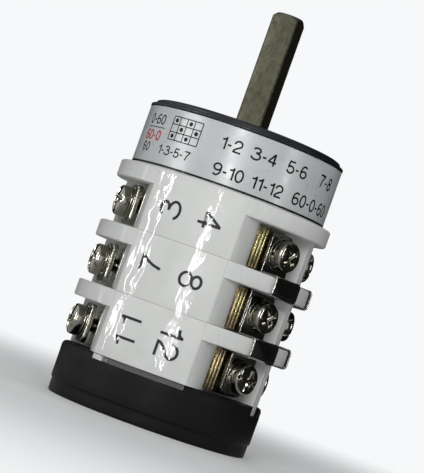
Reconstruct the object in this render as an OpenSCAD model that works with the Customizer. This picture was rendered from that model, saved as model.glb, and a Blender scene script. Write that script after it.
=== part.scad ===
// Motor reversing switch, barrel type: three decks of cam-driven bridge contacts
// under a labelled drum, a square operating shaft on top and a base cap below.
// Millimetres. Origin on the shaft axis at the underside of the cap, +Z up the
// shaft. The numbered front panel faces -Y.

/* [Housing] */
// Diameter over the fins and over the front and back panels
fin_d = 56.8; // [56.4:0.1:57.2]
// Diameter of the drum with its label
drum_d = 52; // [51.4:0.1:52.6]
// Diameter of the base cap
cap_d = 54; // [53.6:0.1:54.4]
// Height of the base cap
cap_h = 13.4; // [13:0.1:14]
// Height of one deck, fin included
deck_pitch = 16.1; // [16:0.1:17]
// Thickness of the fin on top of each deck
fin_t = 4.4; // [4:0.1:4.8]
// Height of the drum
drum_h = 15.4; // [15.4:0.1:17]
// Thickness of the lower and upper tier of the top plate
plate_tiers = [0.8, 1.2]; // [0.8:0.1:1.6]

/* [Shaft and rotor] */
// Width across the flats of the square shaft
shaft_w = 7; // [6.8:0.1:7.2]
// Angle at which the square stands in the off position
square_az = -6; // [-10:1:10]
// Free length of the shaft above the top plate
shaft_free = 31.8; // [15:0.1:60]
// Radius of the cam where it holds the contacts open
cam_r = 12.8; // [12.4:0.1:12.9]
// Angle from the off position to each of the two running positions
throw = 60; // [45:15:60]
// Radius over the teeth of the detent wheel
detent_r = 11.5; // [11:0.1:12]

/* [Terminals] */
// Angle from the front to the first pair of terminals
terminal_az = 62; // [61:0.5:63]
// Distance from the axis to the slanted face beside a terminal pocket
face_n = 22.75; // [22.5:0.05:23]
// Distance from the axis to the floor of a terminal pocket
floor_n = 19.55; // [19.4:0.05:19.6]
// Width and height of the clamp plate under each screw
clamp_w = 8.2; // [7.6:0.1:8.4]
clamp_h = 10.2; // [8:0.1:10.6]
// Diameter and height of the terminal screw's head
head_d = 8; // [7:0.1:8.2]
head_h = 3.1; // [2.4:0.1:3.2]
// Thickness and width of the link straps
link_t = 0.5; // [0.4:0.05:0.6]
link_w = 9.8; // [8:0.1:10]

/* [Hidden] */
DECKS = [1, 2, 3];
SIDES = ["front", "back"];
$fn = 96;

// Gap between neighbouring fixed pieces, and running gap of the two shaft bearings
gap = 0.05;
run = 0.05;
far = 80;

// Round parts of the shaft: the pivot in the cap and the groove for the clip
pivot_r = 2.8;
groove_r = 3.85;

// Heights: deck 1 is the top deck
function deck_z(k) = cap_h + (3 - k) * deck_pitch;
stack_top = cap_h + 3 * deck_pitch;
drum_top = stack_top + drum_h;
plate_top = drum_top + plate_tiers[0] + plate_tiers[1];
shaft_top = plate_top + shaft_free;

// Housing
fin_r = fin_d / 2;
edge = 0.3;
pocket_h = deck_pitch - fin_t;
deck_floor = 2;
pillar_x = 25.45;
pillar_half = 2.9;
panel_x = 14.56;
recess_az = 33.5;
recess_r = fin_r - 0.15;
cam_bore_r = 13.2;
hub_r = 8.1;
hub_hole_r = 8.4;
chamber_w = 17;
chamber_in = 15.2;
chamber_out = 25.2;
guide_w = 7.8;
tie_x = 17;
tie_hole_r = 1.65;
key_t = 1.5;
key_w = 4.8;
key_h = 2.4;
key_seat_w = 13.4;

// Terminals, measured along n outwards and along t round towards the pillar
screw_z = pocket_h / 2;
strip_t = 1.35;
clamp_t = 1.3;
// Inner faces of the clamp plates of decks 1 to 3, for each of QUADRANTS. The
// front left screws stand open a little, the linked ones are screwed down.
CLAMP_N = [[21.6, 21, 21.9], [22, 21.85, 21], [21.9, 22.8, 22.8], [21.9, 21.9, 21.9]];
flat_washer_r = 4.4;
flat_washer_t = 0.3;
split_washer_r = 3.8;
split_washer_t = 0.5;
washers_t = flat_washer_t + gap + split_washer_t;
shank_r = 1.95;
shank_end = 14.9;
screw_hole_r = 2.15;

// Contacts, at height contact_z above the underside of the deck
contact_z = 7.4;
contact_h = 7;
tongue_y = [15.4, 16.6];
tongue_tip = 4.4;
button_x = 6.2;
button_r = 1.7;
button_t = 0.5;
open_gap = 1.15;
bridge_t = 1.1;
bridge_y = tongue_y[1] + 2 * button_t + open_gap;
nose_r = 2.6;
spring_seat = 26.3;

// Detent in the drum
label_t = 0.12;
drum_r = drum_d / 2 - label_t - gap / 2;
drum_wall = 2.4;
drum_floor = 2.5;
star_z = [stack_top + 5.1, drum_top - 4.6];
roller_r = 2.4;
roller_y = detent_r + roller_r + 0.1;
slider_y = [roller_y + 0.6, roller_y + 5.4];
slider_half = 4.75;
plate_screw_r = 20;
panel_hole_x = 18;
panel_hole_r = 1.65;
collar_r = 6.2;

// Link straps over the fins of decks 2 and 3
hump_n = 29.25;
hump_r = 1.2;
tab_end = 3.8;

white = [0.78, 0.79, 0.78];
black = [0.12, 0.12, 0.13];
brass = [0.78, 0.62, 0.3];
nickel = [0.75, 0.74, 0.7];

// Repeats for the four terminals of a deck: [mirror left, mirror back]
QUADRANTS = [[0, 0], [0, 1], [1, 0], [1, 1]];

module in_quadrant(q) {
    mirror([q[0], 0, 0]) mirror([0, q[1], 0]) children();
}

module each_quadrant() {
    for (q = QUADRANTS) in_quadrant(q) children();
}

module on_side(s) {
    mirror([0, s == "back" ? 1 : 0, 0]) children();
}

module both_sides() {
    for (s = SIDES) on_side(s) children();
}

// Local +X along the front right terminal's screw axis, +Y towards the pillar
module terminal_axis() {
    rotate([0, 0, terminal_az - 90]) children();
}

module cylinder_between(r, z0, z1) {
    translate([0, 0, z0]) cylinder(r = r, h = z1 - z0);
}

// A disc with broken edges, from z[0] to z[1]
module broken_disc(r, z, c) {
    rotate_extrude() polygon([[0, z[0]], [r - c, z[0]], [r, z[0] + c], [r, z[1] - c], [r - c, z[1]], [0, z[1]]]);
}

// A wedge of the plane between two angles from the front
module wedge(az) {
    polygon([[0, 0], for (a = az) far * [sin(a), -cos(a)]]);
}

// A helical spring from z = 0 to z = length
module coil(r, wire_r, length, turns, per_turn = 10, corners = 6) {
    rings = turns * per_turn;
    last = rings * corners;
    points = [for (i = [0:rings], s = [0:corners - 1])
        let (a = 360 * i / per_turn, b = 360 * s / corners, reach = r + wire_r * cos(b))
        [reach * cos(a), reach * sin(a), wire_r + (length - 2 * wire_r) * i / rings + wire_r * sin(b)]];
    walls = [for (i = [0:rings - 1], s = [0:corners - 1])
        let (n = (s + 1) % corners, p = i * corners)
        [p + s, p + n, p + corners + n, p + corners + s]];
    ends = [[for (s = [corners - 1:-1:0]) s], [for (s = [0:corners - 1]) last + s]];
    polyhedron(points, concat(walls, ends));
}

// Rotor

module shaft() {
    corner_r = 0.67 * shaft_w;
    point = 1.25;
    pivot_z = [3.2, 9];
    groove_z = [cap_h - 0.95, cap_h - 0.15];
    color([0.42, 0.42, 0.36]) {
        difference() {
            intersection() {
                rotate([0, 0, square_az]) translate([-shaft_w / 2, -shaft_w / 2, pivot_z[1] + gap])
                    cube([shaft_w, shaft_w, shaft_top - pivot_z[1] - gap]);
                rotate_extrude() polygon([[0, 0], [corner_r, 0], [corner_r, shaft_top - point],
                                          [corner_r - point, shaft_top], [0, shaft_top]]);
            }
            translate([0, 0, groove_z[0]]) difference() {
                cylinder(r = shaft_w, h = groove_z[1] - groove_z[0]);
                cylinder(r = groove_r, h = 4, center = true);
            }
        }
        translate([0, 0, pivot_z[0]]) cylinder(r1 = pivot_r - 0.4, r2 = pivot_r, h = 0.4);
        translate([0, 0, pivot_z[0] + 0.4]) cylinder(r = pivot_r, h = pivot_z[1] + 0.1 - pivot_z[0]);
    }
}

module retaining_clip() {
    color(nickel) translate([0, 0, cap_h - 0.9]) difference() {
        cylinder(r = 6.6, h = 0.7);
        translate([0, 0, -1]) cylinder(r = groove_r + gap, h = 3);
        translate([0, -2.5, -1]) cube([8, 5, 3]);
    }
}

module square_bore() {
    bore = shaft_w + 2 * gap;
    rotate([0, 0, square_az]) translate([-bore / 2, -bore / 2, 0]) cube([bore, bore, 2 * far]);
}

// Holds both contacts of its deck open in the off position. One notch comes
// under the front plunger at one running position, the other under the back
// plunger at the other.
module cam(k) {
    z = deck_z(k);
    notch_r = 4.5;
    notch_reach = cam_r + 2.5;
    color([0.86, 0.84, 0.76]) difference() {
        union() {
            translate([0, 0, z + gap]) cylinder(r = hub_r, h = deck_pitch - 2 * gap);
            broken_disc(cam_r, [z + contact_z - 3, z + contact_z + 3], 0.4);
        }
        square_bore();
        for (s = [-1, 1])
            rotate([0, 0, s * (90 - throw)]) translate([notch_reach, 0, 0]) cylinder(r = notch_r, h = far);
    }
}

module detent_wheel() {
    notch_r = 3;
    color([0.86, 0.84, 0.76]) difference() {
        union() {
            translate([0, 0, stack_top + gap]) cylinder(r = hub_r, h = star_z[0] - stack_top);
            broken_disc(detent_r, star_z, 0.4);
            cylinder_between(hub_r, star_z[1] - 0.1, drum_top - 0.1);
            cylinder_between(collar_r, drum_top - 0.2, plate_top);
        }
        square_bore();
        for (i = [0:5])
            rotate([0, 0, 30 + i * 60]) translate([detent_r + 2.1, 0, star_z[0] - 1])
                cylinder(r = notch_r, h = star_z[1] - star_z[0] + 2);
    }
}

// Drum and top plate

module top_plate() {
    lower_r = drum_d / 2 + 0.1;
    upper_r = lower_r - 1;
    z1 = drum_top + plate_tiers[0];
    color([0.12, 0.13, 0.15]) difference() {
        union() {
            broken_disc(lower_r, [drum_top, z1 + 0.01], 0.15);
            rotate_extrude() polygon([[0, z1 - 0.2], [upper_r, z1 - 0.2], [upper_r, plate_top - 0.7],
                                      [upper_r - 0.25, plate_top - 0.25], [upper_r - 0.9, plate_top],
                                      [0, plate_top]]);
        }
        cylinder_between(collar_r + run, drum_top - 1, plate_top + 1);
        for (s = [-1, 1]) {
            translate([s * panel_hole_x, 0, 0]) cylinder_between(panel_hole_r, drum_top - 1, plate_top + 1);
            rotate([0, 0, 45]) translate([s * plate_screw_r, 0, 0]) {
                cylinder_between(1.6, drum_top - 1, plate_top + 1);
                translate([0, 0, plate_top - 1.5]) cylinder(r1 = 1.6, r2 = 3.2, h = 1.6);
            }
        }
    }
}

module plate_screws() {
    color(nickel) for (s = [-1, 1]) rotate([0, 0, 45]) translate([s * plate_screw_r, 0, 0]) difference() {
        union() {
            cylinder_between(1.25, drum_top - 8, plate_top - 1);
            translate([0, 0, plate_top - 1.5]) cylinder(r1 = 1.5, r2 = 3, h = 1.45);
        }
        translate([-0.4, -4, plate_top - 0.8]) cube([0.8, 8, 2]);
    }
}

module drum_housing() {
    inner_r = drum_r - drum_wall;
    floor_top = stack_top + drum_floor;
    top = drum_top - gap;
    color(white) difference() {
        union() {
            difference() {
                broken_disc(drum_r, [stack_top, top], 0.2);
                cylinder_between(inner_r, floor_top, drum_top + 1);
            }
            rotate([0, 0, 45]) for (s = [-1, 1])
                translate([s * plate_screw_r, 0, 0]) cylinder_between(2.9, floor_top - 0.1, top);
            both_sides() for (s = [-1, 1]) intersection() {
                translate([s * (slider_half + 1) - 0.9, -inner_r - 1, floor_top - 0.1])
                    cube([1.8, inner_r - 11.5, top - floor_top + 0.1]);
                cylinder_between(inner_r + 0.1, floor_top - 1, top);
            }
        }
        cylinder_between(hub_hole_r, stack_top - 1, floor_top + 1);
        for (s = [-1, 1]) {
            translate([s * tie_x, 0, 0]) cylinder_between(tie_hole_r, stack_top - 1, floor_top + 1);
            rotate([0, 0, 45]) translate([s * plate_screw_r, 0, 0])
                cylinder_between(1.3, drum_top - 9, drum_top + 1);
        }
    }
}

module label() {
    color([0.8, 0.81, 0.81]) difference() {
        cylinder_between(drum_d / 2, stack_top + 0.3, drum_top - 0.2);
        cylinder_between(drum_d / 2 - label_t, stack_top, drum_top);
    }
}

// The roller stands on the tips of the detent wheel, clear of them all round
module detent_roller(s) {
    color(nickel) on_side(s) translate([0, -roller_y, 0])
        cylinder_between(roller_r, star_z[0] + 0.2, star_z[1] - 0.2);
}

module detent_slider(s) {
    color(black) on_side(s) difference() {
        translate([-slider_half, -slider_y[1], star_z[0]])
            cube([2 * slider_half, slider_y[1] - slider_y[0], star_z[1] - star_z[0]]);
        translate([0, -roller_y, 0]) cylinder_between(roller_r + gap, stack_top, drum_top);
        translate([0, -slider_y[1] - 1, (star_z[0] + star_z[1]) / 2]) rotate([-90, 0, 0])
            cylinder(r = 2.35, h = 2.2);
    }
}

module detent_spring(s) {
    start = slider_y[1] - 1.1;
    length = drum_r - drum_wall - start - 0.15;
    color(nickel) on_side(s) translate([0, -start, (star_z[0] + star_z[1]) / 2]) rotate([90, 0, 0])
        coil(r = 1.75, wire_r = 0.3, length = length, turns = 5);
}

// Decks

module deck_outline() {
    intersection() {
        circle(r = fin_r);
        rotate(terminal_az - 90) square([2 * face_n, 2 * far], center = true);
        rotate(90 - terminal_az) square([2 * face_n, 2 * far], center = true);
    }
    square([2 * pillar_x, 2 * pillar_half], center = true);
}

// A front right terminal pocket, from the front block round to the pillar
module pocket_outline() {
    intersection() {
        rotate(terminal_az - 90) translate([floor_n, -far]) square([far, 2 * far]);
        translate([panel_x, -pillar_half - far]) square([far, far]);
    }
}

// A shallow recess for the film over a numbered panel
module film_recess() {
    intersection() {
        wedge([-recess_az, recess_az]);
        difference() {
            circle(r = fin_r + 1);
            circle(r = recess_r);
        }
    }
}

module deck_cavity_outline() {
    circle(r = cam_bore_r);
    both_sides() {
        translate([-chamber_w / 2, -chamber_out]) square([chamber_w, chamber_out - chamber_in]);
        translate([-guide_w / 2, -chamber_in - 0.5]) square([guide_w, chamber_in - 11]);
    }
}

module deck_body(k) {
    z = deck_z(k);
    top = z + deck_pitch - gap;
    intersection() {
        translate([0, 0, z]) linear_extrude(deck_pitch - gap) difference() {
            deck_outline();
            each_quadrant() pocket_outline();
        }
        rotate_extrude() polygon([[0, z], [fin_r - 0.2, z], [fin_r, z + 0.2], [fin_r, top], [0, top]]);
    }
    broken_disc(fin_r, [z + pocket_h, top], edge);
}

module deck(k) {
    z = deck_z(k);
    color(white) {
        difference() {
            deck_body(k);
            translate([0, 0, z + deck_floor]) linear_extrude(deck_pitch) deck_cavity_outline();
            cylinder_between(hub_hole_r, z - 1, z + deck_pitch);
            for (s = [-1, 1]) translate([s * tie_x, 0, z - 1]) cylinder(r = tie_hole_r, h = deck_pitch + 2);
            each_quadrant() {
                terminal_axis() translate([14.3, 0, z + screw_z]) rotate([0, 90, 0]) cylinder(r = screw_hole_r, h = 12);
                translate([chamber_w / 2 - 0.1, -tongue_y[1] - 0.1, z + contact_z - contact_h / 2 - 0.1])
                    cube([panel_x - chamber_w / 2 + 0.2, tongue_y[1] - tongue_y[0] + 0.2, contact_h + 0.2]);
            }
            both_sides() translate([0, -spring_seat, z + contact_z]) rotate([-90, 0, 0])
                cylinder(r = 3.2, h = 2);
            both_sides() translate([0, 0, z - 1]) linear_extrude(deck_pitch + 2) film_recess();
        }
        // Keys on the lowest deck that stop the cap from turning
        if (k == 3) for (s = [-1, 1])
            translate([s * (pillar_x - key_t / 2) - key_t / 2, -key_w / 2, z - key_h]) cube([key_t, key_w, key_h + 1]);
    }
}

// Contacts

module plunger(s, k) {
    z = deck_z(k) + deck_floor + gap;
    h = 2 * (contact_z - deck_floor - gap);
    nose_y = cam_r + 0.1 + nose_r;
    color([0.45, 0.2, 0.12]) on_side(s) translate([0, 0, z]) {
        translate([0, -nose_y, 0]) cylinder(r = nose_r, h = h);
        translate([-guide_w / 2 + 0.1, -bridge_y + gap, 0]) cube([guide_w - 0.2, bridge_y - gap - nose_y, h]);
    }
}

module bridge_contact(s, k) {
    color(brass) on_side(s) translate([0, -bridge_y, deck_z(k) + contact_z]) {
        difference() {
            translate([-8, -bridge_t, -contact_h / 2]) cube([16, bridge_t, contact_h]);
            for (m = [-1, 1], v = [-1, 1])
                translate([m * 8, -2, v * contact_h / 2]) rotate([0, 45, 0]) cube([1.6, 8, 1.6], center = true);
        }
        for (m = [-1, 1]) translate([m * button_x, -0.1, 0]) rotate([-90, 0, 0])
            cylinder(r = button_r, h = button_t + 0.1);
    }
}

module contact_spring(s, k) {
    start = bridge_y + bridge_t + gap;
    color(nickel) on_side(s) translate([0, -start, deck_z(k) + contact_z]) rotate([90, 0, 0])
        coil(r = 2.6, wire_r = 0.28, length = spring_seat - start - gap, turns = 4);
}

// A strip on the pocket floor with three pressed ribs, and a tongue that
// carries the contact button into the chamber
module fixed_contact(k) {
    z = deck_z(k);
    rib_r = 0.45;
    rib_t = [-7.3, -6, -4.7];
    strip_ends = [-10, 4.4];
    strip_h = pocket_h - 1;
    tongue_root = 14.95;
    difference() {
        union() {
            intersection() {
                terminal_axis() translate([floor_n + gap, 0, z + 0.5]) {
                    translate([0, strip_ends[0], 0]) cube([strip_t, strip_ends[1] - strip_ends[0], strip_h]);
                    for (t = rib_t) translate([strip_t, t, 0]) cylinder(r = rib_r, h = strip_h, $fn = 32);
                }
                translate([panel_x + gap, -far, z]) cube([far, far, pocket_h]);
            }
            translate([tongue_tip, -tongue_y[1], z + contact_z - contact_h / 2])
                cube([tongue_root - tongue_tip, tongue_y[1] - tongue_y[0], contact_h]);
            translate([button_x, -tongue_y[1] + 0.1, z + contact_z]) rotate([90, 0, 0])
                cylinder(r = button_r, h = button_t + 0.1);
        }
        terminal_axis() translate([floor_n - 1, 0, z + screw_z]) rotate([0, 90, 0]) cylinder(r = screw_hole_r, h = 5);
    }
}

module fixed_contacts(k) {
    color(brass) each_quadrant() fixed_contact(k);
}

// Terminal hardware
function clamp_n(k, q) = CLAMP_N[2 * q[0] + q[1]][k - 1];
function clamp_out(k, q) = clamp_n(k, q) + clamp_t + gap;
function links_under(k, q) = q[0] == 1 ? 0 : (k == 2 ? 2 : 1);
function washer_n(k, q) = clamp_out(k, q) + links_under(k, q) * (link_t + gap);

module clamp_plates(k) {
    color(brass) for (q = QUADRANTS) in_quadrant(q) terminal_axis()
        translate([clamp_n(k, q), 0, deck_z(k) + screw_z]) rotate([0, 90, 0]) difference() {
            intersection() {
                translate([0, 0, clamp_t / 2]) cube([clamp_h, clamp_w, clamp_t], center = true);
                cylinder(r = clamp_h / 2 + 0.7, h = clamp_t);
            }
            translate([0, 0, -1]) cylinder(r = screw_hole_r, h = 4);
        }
}

// A flat washer and a split spring washer under each head
module washers(k) {
    color(nickel) for (q = QUADRANTS) in_quadrant(q) terminal_axis()
        translate([washer_n(k, q), 0, deck_z(k) + screw_z]) rotate([0, 90, 0]) difference() {
            union() {
                cylinder(r = flat_washer_r, h = flat_washer_t);
                translate([0, 0, flat_washer_t + gap]) difference() {
                    cylinder(r = split_washer_r, h = split_washer_t);
                    translate([0, 3, split_washer_t / 2]) rotate([0, 30, 0]) cube([0.5, 4, 4], center = true);
                }
            }
            translate([0, 0, -1]) cylinder(r = screw_hole_r, h = 4);
        }
}

// Pan head screw with a slot and a cross recess
module terminal_screw(head_n) {
    r = head_d / 2;
    translate([head_n, 0, 0]) rotate([0, 90, 0]) difference() {
        union() {
            rotate_extrude() polygon([[0, 0], [r - 0.15, 0], [r, 0.2], [r, 1.4], [r - 0.25, 2.1], [r - 0.8, 2.6],
                                      [r - 1.8, head_h - 0.15], [r - 2.6, head_h], [0, head_h]]);
            translate([0, 0, shank_end - head_n]) cylinder(r = shank_r, h = head_n - shank_end + 0.1);
        }
        translate([0, 0, head_h]) {
            cube([10, 1.1, 2.2], center = true);
            cube([1.2, 4.4, 3.2], center = true);
            cube([4.4, 1.2, 3.2], center = true);
        }
    }
}

module terminal_screws(k) {
    color(nickel) for (q = QUADRANTS) in_quadrant(q) terminal_axis() translate([0, 0, deck_z(k) + screw_z])
        terminal_screw(washer_n(k, q) + washers_t + gap);
}

// One leg of a link, from the tab under a screw to the corner of the hump.
// Drawn in the plane of n and z, with z measured up from the fin's face.
module link_leg(tab_n, tab_h) {
    translate([tab_n, gap]) square([link_t, tab_h]);
    translate([tab_n, gap]) square([hump_n - hump_r - tab_n, link_t]);
    translate([hump_n - hump_r, gap + link_t - hump_r]) difference() {
        intersection() {
            circle(r = hump_r);
            square([hump_r, hump_r]);
        }
        circle(r = hump_r - link_t);
    }
}

// Joins the right hand terminals of decks k - 1 and k, on the front or back
module link_strap(s, k) {
    q = [0, s == "back" ? 1 : 0];
    fin_low = deck_z(k) + pocket_h;
    fin_high = deck_z(k) + deck_pitch;
    straight = hump_r - link_t - gap;
    color(nickel) in_quadrant(q) terminal_axis() difference() {
        translate([0, link_w / 2, 0]) rotate([90, 0, 0]) linear_extrude(link_w) {
            translate([0, fin_high])
                link_leg(clamp_out(k - 1, q) + (k == 3 ? link_t + gap : 0), screw_z + tab_end);
            translate([0, fin_low]) mirror([0, 1]) link_leg(clamp_out(k, q), pocket_h - screw_z + tab_end);
            translate([hump_n - link_t, fin_low + straight]) square([link_t, fin_t - 2 * straight]);
        }
        for (z = [fin_high + screw_z, fin_low - pocket_h + screw_z])
            translate([floor_n, 0, z]) rotate([0, 90, 0]) cylinder(r = screw_hole_r, h = 9);
    }
}

// Clear film over a numbered panel, long enough to hang over the cap's edge
module film(s) {
    film_in = recess_r + gap;
    film_t = 0.15;
    film_az = 25.2;
    film_z = [cap_h - 1.4, stack_top - 0.8];
    color([0.9, 0.93, 0.95, 0.4]) rotate([0, 0, s == "back" ? 180 : 0])
        translate([0, 0, film_z[0]]) linear_extrude(film_z[1] - film_z[0]) intersection() {
            wedge([-film_az, film_az]);
            difference() {
                circle(r = film_in + film_t);
                circle(r = film_in);
            }
        }
}

// Base cap and the screws that tie the stack together

module tie_screws() {
    head_z = 0.4;
    color(nickel) for (s = [-1, 1]) translate([s * tie_x, 0, 0]) difference() {
        union() {
            cylinder_between(2.75, head_z, head_z + 2);
            cylinder_between(1.5, head_z + 1.9, stack_top + drum_floor + 3.2);
        }
        translate([-4, -0.4, head_z - 1]) cube([8, 0.8, 1.9]);
    }
}

module tie_nuts() {
    color(nickel) for (s = [-1, 1]) translate([s * tie_x, 0, stack_top + drum_floor + gap]) difference() {
        cylinder(r = 3.15, h = 2.3, $fn = 6);
        translate([0, 0, -1]) cylinder(r = 1.55, h = 5);
    }
}

module bottom_cap() {
    r = cap_d / 2;
    top = cap_h - gap;
    color([0.13, 0.13, 0.13]) difference() {
        union() {
            difference() {
                rotate_extrude() polygon([[0, 0], [r - 0.9, 0], [r - 0.5, 0.4], [r - 0.45, 3.3], [r - 0.1, 3.7],
                                          [r, top - 1], [r - 0.3, top - 0.3], [r - 1, top], [0, top]]);
                cylinder_between(18.4, 2.6, cap_h + 1);
            }
            cylinder_between(5.6, 2, 9);
            for (s = [-1, 1]) translate([s * tie_x, 0, 0]) cylinder_between(3.6, 2, top);
        }
        cylinder_between(pivot_r + run, 3, 10);
        for (s = [-1, 1]) {
            translate([s * tie_x, 0, 0]) {
                cylinder_between(tie_hole_r, -1, cap_h + 1);
                cylinder_between(3, -1, 2.45);
            }
            mirror([s < 0 ? 1 : 0, 0, 0]) translate([pillar_x, 0, cap_h - key_h - 0.1]) {
                translate([-key_t - 0.1, -key_w / 2 - 0.1, 0]) cube([4, key_w + 0.2, 4]);
                translate([0, -key_seat_w / 2, 0]) cube([4, key_seat_w, 4]);
            }
        }
    }
}

shaft();
retaining_clip();
detent_wheel();
top_plate();
plate_screws();
drum_housing();
label();
for (s = SIDES) {
    detent_roller(s);
    detent_slider(s);
    detent_spring(s);
}
for (k = DECKS) {
    deck(k);
    cam(k);
    fixed_contacts(k);
    clamp_plates(k);
    washers(k);
    terminal_screws(k);
}
for (k = DECKS, s = SIDES) {
    plunger(s, k);
    bridge_contact(s, k);
    contact_spring(s, k);
}
for (s = SIDES) {
    link_strap(s, 2);
    link_strap(s, 3);
}
film("front");  // front_film
film("back");  // back_film
tie_screws();
tie_nuts();
bottom_cap();
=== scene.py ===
"""Looks of a barrel-type motor reversing switch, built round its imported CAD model.

Laid out as an add-on: sizes and colours are properties, each piece or group of like pieces is an operator,
and a sidebar panel lists them. Lengths in the helpers are millimetres, turned into metres by MM.
"""
import math

import bmesh
import bpy
from mathutils import Matrix, Quaternion, Vector


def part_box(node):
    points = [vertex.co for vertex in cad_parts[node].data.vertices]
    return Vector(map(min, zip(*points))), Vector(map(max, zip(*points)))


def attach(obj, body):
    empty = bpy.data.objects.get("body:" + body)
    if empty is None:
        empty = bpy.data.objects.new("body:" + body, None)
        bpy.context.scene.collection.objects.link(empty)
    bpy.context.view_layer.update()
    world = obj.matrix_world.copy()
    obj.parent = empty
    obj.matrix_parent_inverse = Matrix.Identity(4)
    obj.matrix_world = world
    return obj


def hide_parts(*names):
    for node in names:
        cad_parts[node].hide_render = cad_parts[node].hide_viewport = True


bl_info = {
    "name": "Motor Reversing Switch",
    "version": (1, 0, 0),
    "blender": (4, 5, 0),
    "location": "View3D > Sidebar > Switch",
    "description": "Builds the finishes and fine pieces of a barrel-type motor reversing switch",
    "category": "Object",
}

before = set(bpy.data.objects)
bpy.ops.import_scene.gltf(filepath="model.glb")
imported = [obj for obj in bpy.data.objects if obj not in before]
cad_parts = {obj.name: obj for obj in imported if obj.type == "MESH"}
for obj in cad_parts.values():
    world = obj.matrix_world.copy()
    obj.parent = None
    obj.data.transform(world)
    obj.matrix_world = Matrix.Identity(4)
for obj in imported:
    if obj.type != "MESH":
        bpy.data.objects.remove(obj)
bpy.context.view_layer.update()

MM = 0.001
# Lengths in millimetres below this count as none
TINY = 1e-6
DECKS = (1, 2, 3)
SIDES = ("front", "back")
HOUSING = "housing"


def node_top(node):
    """Height of a CAD node's top, in millimetres."""
    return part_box(node)[1].z / MM


def node_bottom(node):
    """Height of a CAD node's underside, in millimetres."""
    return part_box(node)[0].z / MM


def node_middle(node):
    """Height of a CAD node's middle, in millimetres."""
    return (node_top(node) + node_bottom(node)) / 2


# Levels and radii taken from the CAD model's parts, in millimetres
PANEL_R = -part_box("deck_1")[0].y / MM
LABEL_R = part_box("label")[1].x / MM
SCREW_Z = {k: node_middle(f"terminal_screws_deck_{k}") for k in DECKS}
# Half the film's angle, a terminal's angle from the middle of the front or the back,
# and the angles of a deck's four terminals from the front, in degrees
FILM_AZ = 25.2
CORNER_AZ = 62
TERMINAL_AZ = (CORNER_AZ, 180 - CORNER_AZ, 180 + CORNER_AZ, 360 - CORNER_AZ)


# Properties


class SwitchColours(bpy.types.PropertyGroup):
    """Colours of the switch's finishes, in linear light."""

    def colour(name, description, value):
        return bpy.props.FloatVectorProperty(
            name=name, description=description, subtype="COLOR", size=3, min=0, max=1, default=value
        )

    plastic: colour("Deck plastic", "Moulded decks and drum", (0.6, 0.61, 0.595))
    paper: colour("Label paper", "Coated paper round the drum", (0.46, 0.475, 0.48))
    cap: colour("Base cap", "Black moulded base cap", (0.006, 0.0064, 0.0064))
    plate: colour("Top plate", "Bluish black top plate", (0.007, 0.009, 0.012))
    slider: colour("Click sliders", "Matt black insulation", (0.006, 0.006, 0.006))
    rotor: colour("Rotor plastic", "Cream cams and click wheel", (0.68, 0.64, 0.5))
    plunger: colour("Plungers", "Brown phenolic plungers", (0.1, 0.025, 0.01))
    steel: colour("Shaft steel", "Oiled drawn steel", (0.058, 0.057, 0.04))
    spring: colour("Spring steel", "Springs and retaining clip", (0.5, 0.5, 0.5))
    strap: colour("Strap plating", "Nickel plating on the link straps", (0.3, 0.3, 0.285))
    clamp: colour("Clamp plating", "Plating on the clamp plates", (0.28, 0.275, 0.235))
    nickel: colour("Screw nickel", "Tarnished nickel plating on the screws", (0.3, 0.29, 0.25))
    brass: colour("Contact brass", "Bare brass of the contact strips", (0.34, 0.275, 0.14))
    # The grey of the left hand strips is partly tarnish and partly painted reflection of the light on that
    # side
    tarnish: colour("Brass tarnish", "Grey tarnish on the left hand strips", (0.47, 0.46, 0.41))
    ink: colour("Printing ink", "Black print on the label and panels", (0.004, 0.006, 0.006))
    red_ink: colour("Red ink", "Red print on the label", (0.35, 0.03, 0.03))


class SwitchSizes(bpy.types.PropertyGroup):
    """Sizes of the fine pieces that the CAD model leaves plain, in millimetres."""

    def size(name, description, value, low, high):
        return bpy.props.FloatProperty(name=name, description=description, default=value, min=low, max=high)

    edge: size("Moulded edge", "Rounding along the moulded edges, mm", 0.22, 0.02, 0.5)
    head_r: size("Head radius", "Radius of the terminal screw heads, mm", 4.0, 3.5, 4.1)
    head_h: size("Head height", "Height of the terminal screw heads, mm", 3.1, 2.4, 3.2)
    thread_pitch: size("Thread pitch", "Pitch of the terminal screw thread, mm", 0.7, 0.5, 1.0)
    number_h: size("Number height", "Mean height of the terminal numbers, mm", 5.8, 4.0, 7.0)
    film_t: size("Film thickness", "Thickness of the clear film, mm", 0.1, 0.05, 0.15)
    film_wave: size("Film wave", "How far the film stands off in waves, mm", 0.16, 0.0, 0.4)


class StageSettings(bpy.types.PropertyGroup):
    """Camera and lamps."""

    def number(name, description, value, unit="NONE"):
        return bpy.props.FloatProperty(name=name, description=description, default=value, unit=unit)

    azimuth: number("Azimuth", "Camera angle to the right of the front", math.radians(13.4), "ROTATION")
    distance: number("Distance", "From the shaft axis to the camera", 0.5196, "LENGTH")
    height: number("Height", "Height of the camera", 0.03, "LENGTH")
    aim: number("Aim", "Height on the axis that the camera looks at", 0.05072, "LENGTH")
    roll: number("Roll", "How far the camera is rolled", math.radians(19.62), "ROTATION")
    lens: number("Lens", "Focal length", 154.05, "CAMERA")
    key_power: number("Key", "Power of the soft key above the camera", 4.75, "POWER")
    back_power: number("Back", "Power of the soft panel behind", 1.8, "POWER")
    strip_power: number("Strips", "Power of the weakest narrow strip", 0.9, "POWER")
    world: number("World", "Strength of the even light", 0.28)


# Mesh helpers


def at_azimuth(radius, azimuth, z):
    """A point in metres, from a radius and height in millimetres and an angle from the front in degrees."""
    a = math.radians(azimuth)
    return Vector((radius * math.sin(a), -radius * math.cos(a), z)) * MM


def put(name, data):
    """A new object in the scene."""
    obj = bpy.data.objects.new(name, data)
    bpy.context.scene.collection.objects.link(obj)
    return obj


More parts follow.
